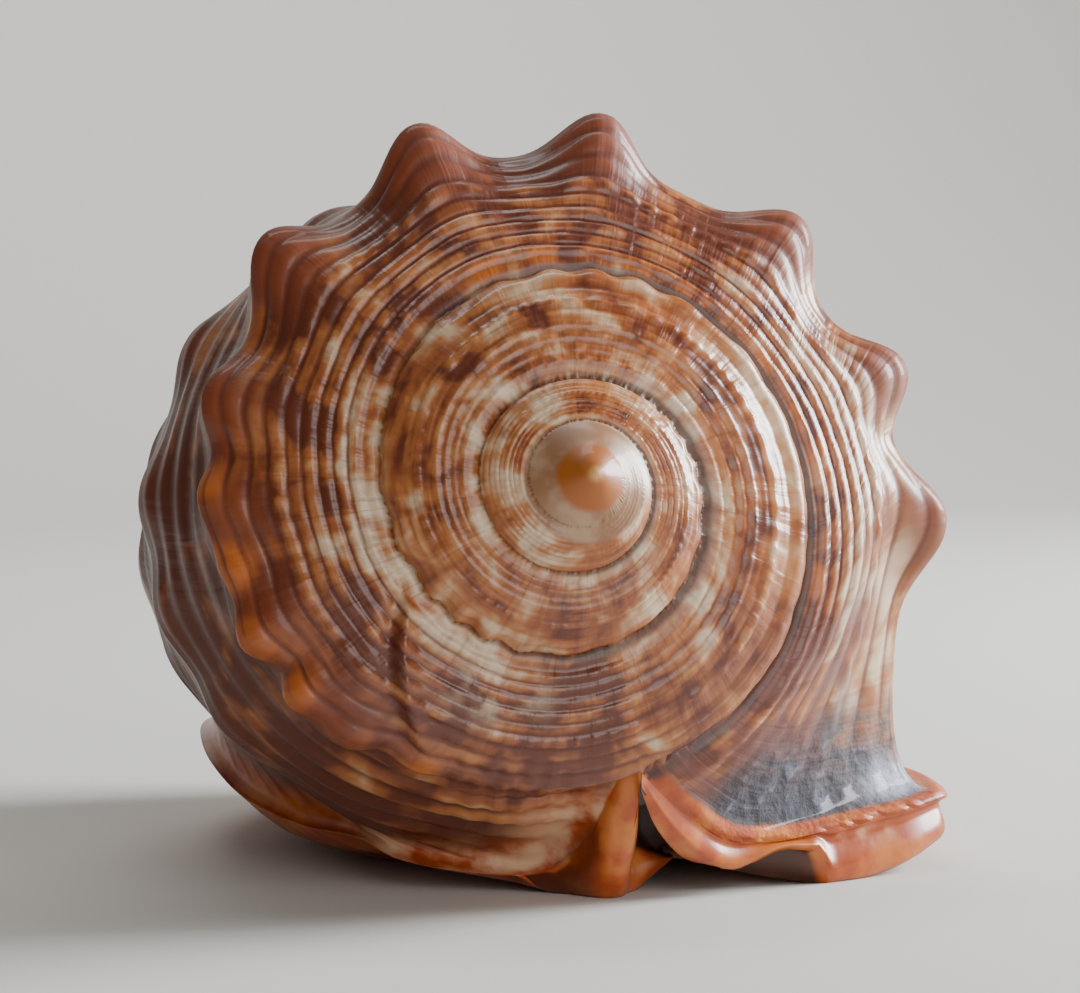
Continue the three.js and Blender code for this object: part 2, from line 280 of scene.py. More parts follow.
def wall_profile(turn, place, form):
    """Radius and depth of the bare wall at a place down from the suture."""
    inner_radius, inner_depth = suture_table(turn)
    outer_radius, outer_depth = suture_table(turn + 360)
    across = np.clip(place, 0, 1)
    grown = smoothstep(turn, SPIRE_START, SPIRE_START + 360)
    bulge = WHORL_BULGE * (outer_radius - inner_radius) * grown * np.sin(np.pi * across ** 1.5)
    wave = suture_wave(turn, form) * bell(across, 0, 0.1)
    wave = wave + suture_wave(turn + 360, form) * bell(across, 1, 0.16)
    along = np.clip(place - 1, 0, 1)
    middle = girth_table(turn)[0]
    shoulder = (outer_radius - middle) * np.exp(-((along / SHOULDER_REACH) ** 2))
    flank_radius = middle * taper_table(along)[0] + shoulder
    ramp_radius = lerp(inner_radius, outer_radius, across) + wave
    radius = np.where(place <= 1, ramp_radius, flank_radius)
    ramp_depth = lerp(inner_depth, outer_depth, across) - bulge
    ramp_depth = ramp_depth - NUCLEUS_RISE * bell(ramp_radius, 0, NUCLEUS_REACH)
    depth = np.where(place <= 1, ramp_depth, lerp(outer_depth, CANAL_END, along))
    return radius, depth


def set_down(turn, radius, depth):
    """Points of the coiling frame where they lie over the table, in millimetres."""
    clock = np.radians(JUNCTION_CLOCK + turn)
    lift = CANAL_LIFT * smoothstep(depth, 0.8 * CANAL_END, CANAL_END)
    height = radius * np.cos(clock) + lift
    cos, sin = math.cos(math.radians(AXIS_TILT)), math.sin(math.radians(AXIS_TILT))
    y = depth * cos + height * sin
    z = height * cos - depth * sin
    return np.stack(np.broadcast_arrays(radius * np.sin(clock), y, z + APEX[2]), axis=-1)


def lean_turn(growth, place):
    """Columns lean back along the lip and forward along the shield."""
    late = smoothstep(growth, -150, 0) * smoothstep(place, 0, 1)
    early = 1 - smoothstep(growth, -360, -210)
    return growth - LIP_SWEEP * late + sweep_table(np.clip(place - 1, 0, 1))[0] * early


def bare_wall(growth, place, form):
    turn = lean_turn(growth, place)
    return set_down(turn, *wall_profile(turn, place, form))


def lip_row(place):
    """Edge point and thickness of the lip."""
    head = lip_head_table(np.clip(place, 0, 1))
    side = lip_side_table(np.clip(place - 1, 0, 1))
    return np.moveaxis(np.where(place <= 1, head, side), 0, -1)


def lip_edge(place):
    return lip_row(place)[..., :3]


def shield_rim(place):
    return np.moveaxis(shield_table(np.clip(place - 1, 0, 1)), 0, -1)


def outward(edge, place, side):
    """Level direction that points out over an edge, to the right hand of its run for side 1."""
    step = np.where(place < 1, 0.083, 0.025)
    run = edge(np.minimum(place + step, 2)) - edge(np.maximum(place - step, 0))
    across = side * np.stack((run[..., 1], -run[..., 0], np.zeros_like(run[..., 0])), axis=-1)
    return across / np.maximum(np.linalg.norm(across, axis=-1, keepdims=True), 1e-9)


def flare_out(points, share, place, form, edge, start, end, side, flare, lead, settled):
    """Carries wall points out to an edge by a bend that leaves the wall smoothly and ends level."""
    target = edge(place)
    share = share[..., None]
    straight = points + share ** 3 * (target - bare_wall(end, place, form))
    leave = bare_wall(start, place, form)
    heading = leave + (bare_wall(lerp(start, end, 0.02), place, form) - leave) * lead
    arrive = target - flare * outward(edge, place, side)
    rest = 1 - share
    bend = rest ** 3 * leave + 3 * rest ** 2 * share * heading
    bend = bend + 3 * rest * share ** 2 * arrive + share ** 3 * target
    return lerp(straight, bend, settled[..., None])


def knob_height(turn, radius, depth):
    """Height of the knobs over the wall of the last whorl."""
    below = depth - suture_table(turn + 360)[1]
    height = 0
    for knob_turn, size, spread in SHOULDER_KNOBS:
        rows = ((0, size, 0), *((drop, tall * math.sqrt(size / 6), shift)
                                for drop, tall, shift in LOWER_KNOB_ROWS))
        for drop, tall, shift in rows:
            around = np.radians(turn - knob_turn - shift) * radius
            reach = np.hypot(around, below - drop) / spread
            height = height + tall * np.exp(-(reach ** KNOB_CROWN))
    return height


def lip_share(growth):
    return np.clip(1 + growth / LIP_ZONE, 0, 1)


def shield_share(growth):
    return np.clip(1 - (growth + 360) / SHIELD_ZONE, 0, 1)


def knob_fade(growth, place):
    return (1 - lip_share(growth) ** 2) * (1 - shield_share(growth)) * smoothstep(place, 0, 0.33)


def last_whorl(growth, place, form):
    """The last whorl, drawn out to the lip at its end and to the shield at its start."""
    growth, place = np.broadcast_arrays(np.asarray(growth, float), np.asarray(place, float))
    turn = lean_turn(growth, place)
    radius, depth = wall_profile(turn, place, form)
    points = set_down(turn, radius, depth)
    lip = lip_share(growth)
    gutter = window(place, 0.2, 0.5, 1.2, 1.5)
    flared = flare_out(points, lip, place, form, lip_edge, -LIP_ZONE, 0, 1,
                       LIP_FLARE + GUTTER_FLARE * gutter[..., None], 27, smoothstep(place, 0, 1))
    points = np.where(((lip > 0) & (place > 0))[..., None], flared, points)
    shield = shield_share(growth)
    flared = flare_out(points, shield, place, form, shield_rim, SHIELD_ZONE - 360, -360, -1,
                       SHIELD_FLARE, 22, smoothstep(place, 1, 1.15))
    points = np.where(((shield > 0) & (place > 1))[..., None], flared, points)
    knob = form.knob_scale * knob_fade(growth, place) * knob_height(turn, radius, depth)
    points = points + set_down(turn, knob, KNOB_LEAN * knob) - set_down(turn, 0 * knob, 0 * knob)
    points[..., 2] = np.maximum(points[..., 2], 0)
    return points


def mouth_share(place):
    """Share of the mouth's length at a place along the lip."""
    return np.where(place <= 1, place * LIP_HEAD_SHARE, lerp(LIP_HEAD_SHARE, 1, place - 1))


def lip_chip(place):
    """How much of the rim is broken away, up to a sharp spur."""
    return 4.6 * window(place, 0.42, 0.6, 0.67, 0.69)


def mouth_section(place, share):
    """Section of the mouth from a place on the lip through the slit to a share of the shield."""
    row, chip = lip_row(place), lip_chip(place)
    lip, thickness = row[..., :3], row[..., 3] - chip
    shield = np.moveaxis(shield_table(share), 0, -1)
    y = (lip[:, 1] + shield[:, 1]) / 2
    middle, half, depth = slit_table(y)
    opened = np.clip((lip[:, 0] - shield[:, 0]) / 40, 0, 1)
    back = window(y, 30, 75, 112, 140)
    fold = FOLD_DROP * bell(y, FOLD_PLACE, FOLD_LENGTH)
    canal = CANAL_LIFT * smoothstep(y, 115, 147)
    height = lerp((lip[:, 2] + shield[:, 2]) / 2 - 2, SLIT_EDGE_HEIGHT, opened) + canal
    lip_side_edge = np.stack((middle + half, y, height), axis=-1)
    inner_edge = np.stack((middle - half, y, height), axis=-1)
    points = []
    for step in LIP_SHARES:
        point = lerp(lip, lip_side_edge, step)
        rim = lip[:, 2] - thickness * smoothstep(step, 0, 0.05)
        sag = opened * (0.5 + 5 * back) * math.sin(math.pi * step)
        point[:, 2] = lerp(rim, height, np.clip((step - 0.05) / 0.95, 0, 1)) - sag
        point[:, 2] += 0.9 * chip * math.sin(math.pi * step)
        points.append(point)
    swell = opened * (1 - smoothstep(y, 105, 140))
    for side, out, rise in SLIT_WALL:
        edge = lip_side_edge if side > 0 else inner_edge
        x = middle if side == 0 else edge[:, 0] + side * out * swell
        points.append(np.stack((x, y, height + depth * rise), axis=-1))
    for step in SHIELD_SHARES:
        point = lerp(inner_edge, shield, step)
        full = smoothstep(1 - step, 0, 0.12) * smoothstep(step, 0, 0.15)
        sag = (0.5 * shield[:, 2] + 1) * math.sin(math.pi * step ** 0.75)
        point[:, 2] -= opened * (SHIELD_THICKNESS * full * (0.3 + 0.7 * back) + sag * back)
        point[:, 2] -= fold * math.sin(math.pi * step)
        points.append(point)
    points = np.stack(points)
    points[..., 2] = np.maximum(points[..., 2], 0)
    return points


def cord_crest(turn, across):
    """Cords as rounded ridges, 0 in their narrow grooves and about 1 on their crests."""
    angle = np.radians(turn)
    drift = 0.12 * np.sin(2.3 * angle) + 0.06 * np.sin(7.1 * angle + 2)
    count = np.clip((across - CORD_START) / (1 - CORD_START), 0, 1) * CORD_COUNT + drift
    number = np.floor(count)
    ridge = 1 - np.abs(2 * (count - number) - 1) ** 2.6
    lumps = 0.82 + 0.18 * np.sin(43 * angle + 2.4 * number) * np.sin(11 * angle + number)
    beads = 0.78 + 0.24 * np.sin(66 * angle + 6 * np.sin(5.3 * angle)) + 0.1 * np.sin(17 * angle)
    strength = 0.75 + 0.25 * np.sin(2.6 * number + 1)
    within = smoothstep(across, CORD_START - 0.02, CORD_START + 0.06)
    return within * ridge * strength * np.where(number == BEADED_CORD, beads, lumps)


def ramp_relief(turn, across, form):
    """Height of the cords and of the channel along the suture, over a ramp."""
    width = suture_table(turn + 360)[0] - suture_table(turn)[0]
    size = np.clip(width / RAMP_WIDTH, 0, 1)
    late = 0.55 + 1.65 * smoothstep(turn, -210, -120)
    soon = 0.55 + 1.65 * smoothstep(turn + 360, -210, -120)
    buried = soon * (1 - smoothstep(turn, -368, -360))
    channel = late * bell(across, 0, 0.04) + buried * bell(across, 1.0, 0.035)
    channel = channel - 0.6 * buried * bell(across, 0.89, 0.06)
    grown = smoothstep(turn, -1240, -1000)
    cords = form.cord_scale * CORD_HEIGHT * (cord_crest(turn, across) - 0.6)
    return grown * size * (cords - form.channel_depth / MM * channel)


def varix_line(place):
    """Growth at which an old lip crosses the wall."""
    return -293 - 34 * (place - 0.27)


def low_front(growth):
    """Where the wall turns under the spire, at its start beside the shield."""
    return window(growth, -362, -348, -312, -290)


def flank_cords(along):
    """Cords of the flank, from -1 in their grooves to 1 on their crests."""
    return np.cos(2 * np.pi * FLANK_CORDS * along)


def nodule_share(growth, place):
    """Row of nodules along the low end of the shoulder."""
    angle = np.radians(growth)
    low = window(growth, -326, -306, -262, -235)
    row = 0.55 + 0.45 * np.sin(27 * angle + 0.8 * np.sin(5 * angle))
    return low * row * np.where(place < 1, bell(place, 1, 0.13), bell(place, 1, 0.03))


def wall_relief(growth, place, form):
    """Height of the cords, the old lip, the ribs beside it and the hollow behind the fold."""
    turn = lean_turn(growth, place)
    lip, shield = lip_share(growth), shield_share(growth)
    ramp = ramp_relief(np.maximum(turn, -359.9), np.clip(place, 0, 1), form)
    ramp = ramp * (1 - smoothstep(place, 0.97, 1.0))
    along = np.clip(place - 1, 0, 1)
    near = smoothstep(growth, -200, -130) + low_front(growth)
    near = near * (1 - smoothstep(along, 0.1, 0.3))
    flank = form.cord_scale * (0.26 + 0.3 * near) * flank_cords(along)
    flank = flank * smoothstep(place, 1.0, 1.04) * (1 - smoothstep(shield, 0.6, 0.9))
    line = varix_line(place)
    varix = bell(growth, line, 2.4) - 0.5 * bell(growth, line + 5, 2.2)
    varix = varix * window(place, 0.05, 0.2, 0.75, 1.02)
    older = 1 - smoothstep(growth, line - 4, line)
    ribs = np.sin(np.radians(growth) * 80) * smoothstep(growth, -352, -340) * older
    ribs = ribs * bell(place, 0.95, 0.2)
    rolled = bell(lip, 0.97, 0.035) * smoothstep(place, 0.1, 0.4)
    hollow = bell(shield, 0.78, 0.14) * window(place, 1.02, 1.06, 1.14, 1.22)
    height = (ramp + flank) * (1 - smoothstep(lip, 0.75, 0.93))
    height = height + OLD_LIP_HEIGHT * varix + RIB_HEIGHT * ribs
    height = height + NODULE_HEIGHT * nodule_share(growth, place)
    height = height + RIM_BEAD_HEIGHT * rolled - HOLLOW_DEPTH * hollow
    return height * (1 - smoothstep(place, 1.9, 2.0))


def mouth_relief(place, share, index, form):
    """Height of the rim's two ridges, the fold, the lip's teeth and the folds of the inner side."""
    y = (lip_row(place)[..., 1] + shield_table(share)[1]) / 2
    wide = window(share, 0.05, 0.16, 0.93, 1.0)
    rim = 0.35 - 0.8 * bell(index, 0.95, 0.45) + 0.8 * bell(index, 2.2, 0.6)
    rim = rim * (1 - smoothstep(index, 3.2, 4.5))
    teeth = (0.5 + 0.5 * np.cos(2 * np.pi * y / TOOTH_SPACING)) ** 1.5
    folds = (0.5 + 0.5 * np.cos(2 * np.pi * y / INNER_FOLD_SPACING + 1.5 * np.sin(y / 9))) ** 2
    tooth = form.tooth_height / MM * smoothstep(y, 30, 38)
    height = rim + tooth * (teeth * bell(index, 7.6, 1.4) + 0.8 * folds * bell(index, 19.0, 1.5))
    fold = window(index, 17.5, 21, 22.5, 26) - 0.7 * bell(index, 17.6, 1.3)
    fold = fold * bell(y, 21, 7) * smoothstep(share, 0.01, 0.05)
    return wide * height + FOLD_HEIGHT * fold


def add_patch(points, pattern, marks):
    """Adds a grid and moves its points to their places, with its pattern UV and its marks.

    No extrude or spin gives a coil that widens, leans and flares, so its points are moved in code.
    """
    rows, columns = points.shape[0] - 1, points.shape[1] - 1
    bpy.ops.object.select_all(action="DESELECT")
    bpy.ops.mesh.primitive_grid_add(x_subdivisions=columns, y_subdivisions=rows, size=2)
    patch = bpy.context.object
    mesh = patch.data
    grid = np.empty(len(mesh.vertices) * 3)
    mesh.vertices.foreach_get("co", grid)
    grid = grid.reshape(-1, 3)
    column = np.rint((grid[:, 0] + 1) / 2 * columns).astype(int)
    row = np.rint((grid[:, 1] + 1) / 2 * rows).astype(int)
    moved = (points[row, column] + (APEX[0], APEX[1], 0)) * MM
    mesh.vertices.foreach_set("co", moved.ravel())
    corners = np.empty(len(mesh.loops), dtype=int)
    mesh.loops.foreach_get("vertex_index", corners)
    mesh.uv_layers[0].name = "whorl"
    mesh.uv_layers[0].data.foreach_set("uv", pattern[row, column][corners].ravel())
    for name in MARKS:
        values = np.broadcast_to(marks.get(name, 0.0), points.shape[:2])
        mesh.attributes.new(name, "FLOAT", "POINT").data.foreach_set("value", values[row, column])
    return patch


def ramp_marks(turn, across):
    """Where the colours of a ramp lie. Cream shifts the tone from brown to cream."""
    young = 1 - smoothstep(turn, -960, -600)
    facing = 0.5 + 0.5 * np.cos(np.radians(turn + 75))
    beside = 1 - smoothstep(across, 0.2, 0.34)
    body = smoothstep(turn, -400, -340)
    left = window(turn, -345, -300, -235, -205)
    right = window(turn, -130, -90, -30, 0)
    spire = 0.01 + 0.05 * beside + 0.02 * bell(across, 0.88, 0.1) - 0.03 * bell(across, 0.5, 0.1)
    spire = lerp(spire, 0.05, young)
    last = -0.05 + beside * (0.02 + 0.12 * left) + 0.13 * right * smoothstep(across, 0.25, 0.5)
    last = last - 0.03 * smoothstep(-turn, 310, 345)
    radius = lerp(suture_table(turn)[0], suture_table(turn + 360)[0], across)
    # Painted shade along the suture's channel: a dark line that is widest and darkest where facing
    # is high, on the right side.
    crevice_shade = bell(across, 0.05 * facing, 0.03 + 0.035 * facing)
    crevice_shade = crevice_shade + bell(across, 1, 0.03 + 0.03 * facing)
    # Painted shade in the grooves between the cords, and a lighter tone on their crests, standing
    # in for the cords' shading.
    cord_shade = (0.6 - cord_crest(turn, across)) * smoothstep(across, 0.08, 0.14)
    return {
        "cream": lerp(spire, last, body),
        "crevice_shade": crevice_shade * smoothstep(radius, 5.5, 8.5) * (0.5 + 0.5 * facing),
        "nucleus": np.clip(1 - radius / 10, 0, 1) * (turn < -800),
        "smooth": 1 - smoothstep(radius, 8, 11),
        "cord_shade": cord_shade * (radius > 9.5) * lerp(0.6, 1, body),
    }


def spire_patch(form):
    """Ramps of the whorls over the last one."""
    turn = np.linspace(SPIRE_START, -360, SPIRE_TURNS * COLUMNS + 1)[None, :]
    across = np.linspace(0, 1, SPIRE_ROWS + 1)[:, None]
    turn, across = (values.copy() for values in np.broadcast_arrays(turn, across))
    across[:, 0] = np.rint(across[:, 0] * (NUCLEUS_ROWS - 1)) / (NUCLEUS_ROWS - 1)
    points = set_down(turn, *wall_profile(turn, across, form))
    relief = ramp_relief(turn, across, form)
    width = suture_table(turn + 360)[0] - suture_table(turn)[0]
    pattern = np.stack((whorl_length(turn), across * width / WHORL_LENGTH), axis=-1)
    return add_patch(points, pattern, {"relief": relief, **ramp_marks(turn, across)})


def nucleus_patch(form):
    """Closes the first turn: a dome from the apex out to the start of the suture."""
    turn = np.linspace(SPIRE_START, SPIRE_START + 360, COLUMNS + 1)[None, :]
    share = np.repeat(np.linspace(0, 1, NUCLEUS_ROWS + 1)[:, None], COLUMNS + 1, axis=1)
    share[1:, 0] = 1
    radius, depth = suture_table(turn)
    radius, depth = radius * share, depth * share
    points = set_down(turn, radius, depth - NUCLEUS_RISE * bell(radius, 0, NUCLEUS_REACH))
    pattern = np.zeros((*points.shape[:2], 2))
    return add_patch(points, pattern, {"nucleus": np.clip(1 - radius / 10, 0, 1), "smooth": 1.0})


def wall_places():
    """Places of the wall's rows, closer together next to the shoulder."""
    ramp = np.linspace(0, 1, RAMP_ROWS + 1)
    flank = np.linspace(0, 1, FLANK_ROWS + 1)[1:]
    return np.concatenate((ramp, 1 + lerp(flank, flank ** 2, 0.35)))


def wall_pattern(growth, place):
    """UV of the last whorl, in lengths of the last whorl."""
    width = suture_table(growth + 360)[0] - suture_table(growth)[0]
    down = np.clip(place, 0, 1) * width + np.clip(place - 1, 0, 1) * (CANAL_END - 35)
    return np.stack((whorl_length(growth), down / WHORL_LENGTH), axis=-1)


def wall_marks(growth, place, form):
    """Where the colours of the last whorl lie."""
    turn = lean_turn(growth, place)
    marks = ramp_marks(turn, np.clip(place, 0, 1))
    lip, shield = lip_share(growth), shield_share(growth)
    front = low_front(growth)
    on_ramp = 1 - smoothstep(place, 0.98 + 0.1 * front, 1.05 + 0.13 * front)
    below = smoothstep(lip, 0.05, 0.4) * (1 - smoothstep(place, 0.6, 0.8))
    crown = bell(turn, -170, 45) * smoothstep(place, 0.45, 0.75)
    # The flank's tone, darker toward the shield's end as painted shade on the shaded left side,
    # lighter near the lip.
    flank_tone_and_shade = -0.06 - 0.08 * (1 - smoothstep(growth, -260, -210))
    flank_tone_and_shade = flank_tone_and_shade + 0.07 * smoothstep(growth, -120, -60)
    marks["cream"] = lerp(flank_tone_and_shade, marks["cream"], on_ramp) - 0.06 * below - 0.06 * crown
    marks["haze"] = below
    # Painted shade in the flank's cord grooves on the low front beside the shield.
    flank_cord_shade = -0.45 * front * flank_cords(np.clip(place - 1, 0, 1))
    marks["cord_shade"] = np.where(place < 1, marks["cord_shade"], flank_cord_shade) * on_ramp
    marks["cord_shade"] = marks["cord_shade"] * (1 - smoothstep(lip, 0.5, 0.9))
    angle = np.radians(turn)
    beads = 0.5 + 0.5 * np.sin(angle * SUTURE_WAVES + 1.6 * np.sin(angle * 4.7))
    beads = beads * bell(place, 0.11, 0.07) * smoothstep(growth, -220, -170)
    beads = beads * (1 - smoothstep(lip, 0, 0.2))
    marks["orange"] = np.clip(1.2 * nodule_share(growth, place) + beads, 0, 1)
    # Painted shade in the hollow behind the fold, on the shield's side.
    hollow = bell(shield, 0.72, 0.2) * window(place, 1.02, 1.07, 1.16, 1.26)
    marks["crevice_shade"] = np.maximum(marks["crevice_shade"] * (place < 0.5), 0.15 * hollow)
    knobs = knob_height(turn, *wall_profile(turn, place, form))
    marks["knob"] = np.clip(knob_fade(growth, place) * knobs / 5, 0, 1)
    shield_glaze = smoothstep(shield, 0.4, 0.85) * smoothstep(place, 1.0, 1.12)
    marks["glaze"] = marks["smooth"] = np.maximum(smoothstep(lip, 0.91, 0.95), shield_glaze)
    # Cream streaks on the shield's front, also painted light that lifts the front where it faces
    # away from the lamps.
    marks["enamel_and_painted_light"] = 0.85 * shield_glaze * (1 - smoothstep(place, 1.25, 1.4))
    marks["pits"] = smoothstep(lip, 0.46, 0.86) * window(place, 0.2, 0.42, 0.98, 1.1)
    # Painted reflection: a bluish-white sheen on the lip's corner, and a faint pale strip along the
    # rim's left part.
    corner = bell(lip, 0.83, 0.1) * bell(place, 0.93, 0.11)
    marks["painted_sheen"] = 0.9 * corner + 0.25 * bell(lip, 0.93, 0.025) * bell(place, 0.25, 0.14)
    marks["white"] = bell(growth, -322, 14) * bell(place, 0.35, 0.22)
    return marks


def last_whorl_patch(form):
    """Skin of the last whorl, from the shield round to the lip."""
    growth = np.linspace(-360, 0, COLUMNS + 1)[None, :]
    grid = np.broadcast_arrays(growth, wall_places()[:, None])
    growth, place = (values.copy() for values in grid)
    place[:RAMP_ROWS, 0] = np.rint(place[:RAMP_ROWS, 0] * SPIRE_ROWS) / SPIRE_ROWS
    marks = {"relief": wall_relief(growth, place, form), **wall_marks(growth, place, form)}
    return add_patch(last_whorl(growth, place, form), wall_pattern(growth, place), marks)


def mouth_rows():
    """Places on the lip, and shares of the shield, that the rows of the mouth start and end at."""
    places = wall_places()
    shares = places[RAMP_ROWS:] - 1
    nearest = np.abs(shares[None, :] - mouth_share(places)[:, None]).argmin(axis=1)
    return places, shares[nearest]


def mouth_points(form):
    """Grid of the mouth, with its two edges on the points of the wall."""
    place, share = mouth_rows()
    flat = mouth_section(place, share).reshape(SECTION_POINTS, -1)
    dense = smooth_curve(np.arange(SECTION_POINTS, dtype=float), flat)
    points = np.moveaxis(dense(SECTION_INDEX).reshape(len(place), 3, -1), -1, 1)
    points[..., 2] = np.maximum(points[..., 2], 0)
    points[:, 0] = last_whorl(0.0, place, form)
    points[:, -1] = last_whorl(-360.0, 1 + share, form)
    points[0] = last_whorl(0.0, 0.0, form)
    return points


def mouth_patch(form):
    """Face of the lip, the blind slit and the face of the shield."""
    place, share = (values[:, None] for values in mouth_rows())
    place, share, index = np.broadcast_arrays(place, share, SECTION_INDEX[None, :])
    relief = mouth_relief(place, share, index, form)
    groove_run = window(place, 0.62, 0.72, 1.1, 1.4)
    teeth = np.clip(relief, 0, 1) * smoothstep(index, 5, 7) * smoothstep(share, 0.2, 0.26)
    # Cream between the rim's two ridges and on the teeth, also a painted highlight on the lip's
    # face.
    enamel_and_painted_light = np.clip(0.8 * bell(index, 1.0, 0.5) * groove_run + teeth, 0, 1)
    pattern = np.stack((share, index / 200), axis=-1) + (4, 0)
    # Painted shadow under the chipped rim, and painted shade deep in the blind slit.
    shadow_under_chip = window(index, 2.9, 3.6, 7, 8.5) * window(place, 0.4, 0.5, 0.72, 0.8)
    crevice_shade = np.maximum(window(index, 8.8, 10, 15.5, 17), 0.8 * shadow_under_chip)
    marks = {"relief": relief, "glaze": 1.0, "smooth": 1.0, "crevice_shade": crevice_shade, "enamel_and_painted_light": enamel_and_painted_light}
    return add_patch(mouth_points(form), pattern, marks)


def canal_patch(form):
    """Closes the canal: a rounded strip from the wall's last row to the mouth's last row."""
    column = np.arange(COLUMNS + 1) / COLUMNS
    wall = last_whorl(360.0 * (column - 1), 2.0, form)
    mouth = mouth_points(form)[-1]
    section = SECTION_INDEX[-1] * (1 - column)
    brim = np.stack([np.interp(section, SECTION_INDEX, axis) for axis in mouth.T], axis=-1)
    share = np.linspace(0, 1, CANAL_ROWS + 1)[:, None]
    points = lerp(wall, brim, share[..., None])
    width = np.linalg.norm(brim - wall, axis=-1)
    points[..., 1] += CANAL_ROUND * smoothstep(width, 0, CANAL_WIDTH) * np.sin(np.pi * share)
    nearest = np.abs(SECTION_INDEX[None, :] - section[:, None]).argmin(axis=1)
    points[-1] = mouth[nearest]
    pattern = np.zeros((*points.shape[:2], 2)) + (6, 0)
    return add_patch(points, pattern, {"glaze": 1.0, "smooth": 1.0})


def raise_relief(shell):
    """Moves each point of the welded skin along its normal by its relief, never under the table."""
    mesh = shell.data
    count = len(mesh.vertices)
    points, normals, relief = np.empty(count * 3), np.empty(count * 3), np.empty(count)
    mesh.vertices.foreach_get("co", points)
    mesh.vertex_normals.foreach_get("vector", normals)
    mesh.attributes["relief"].data.foreach_get("value", relief)
    points = points.reshape(-1, 3) + normals.reshape(-1, 3) * relief[:, None] * MM
    points[:, 2] = np.maximum(points[:, 2], 0)
    mesh.vertices.foreach_set("co", points.ravel())
    mesh.update()


def add_node(tree, kind, settings=None, inputs=None):
    """Adds a node, sets its properties and fills its sockets with values or links."""
    node = tree.nodes.new(kind)
    for name, value in (settings or {}).items():
        setattr(node, name, value)
    for name, value in (inputs or {}).items():
        if isinstance(value, bpy.types.NodeSocket):
            tree.links.new(value, node.inputs[name])
        else:
            node.inputs[name].default_value = value
    return node


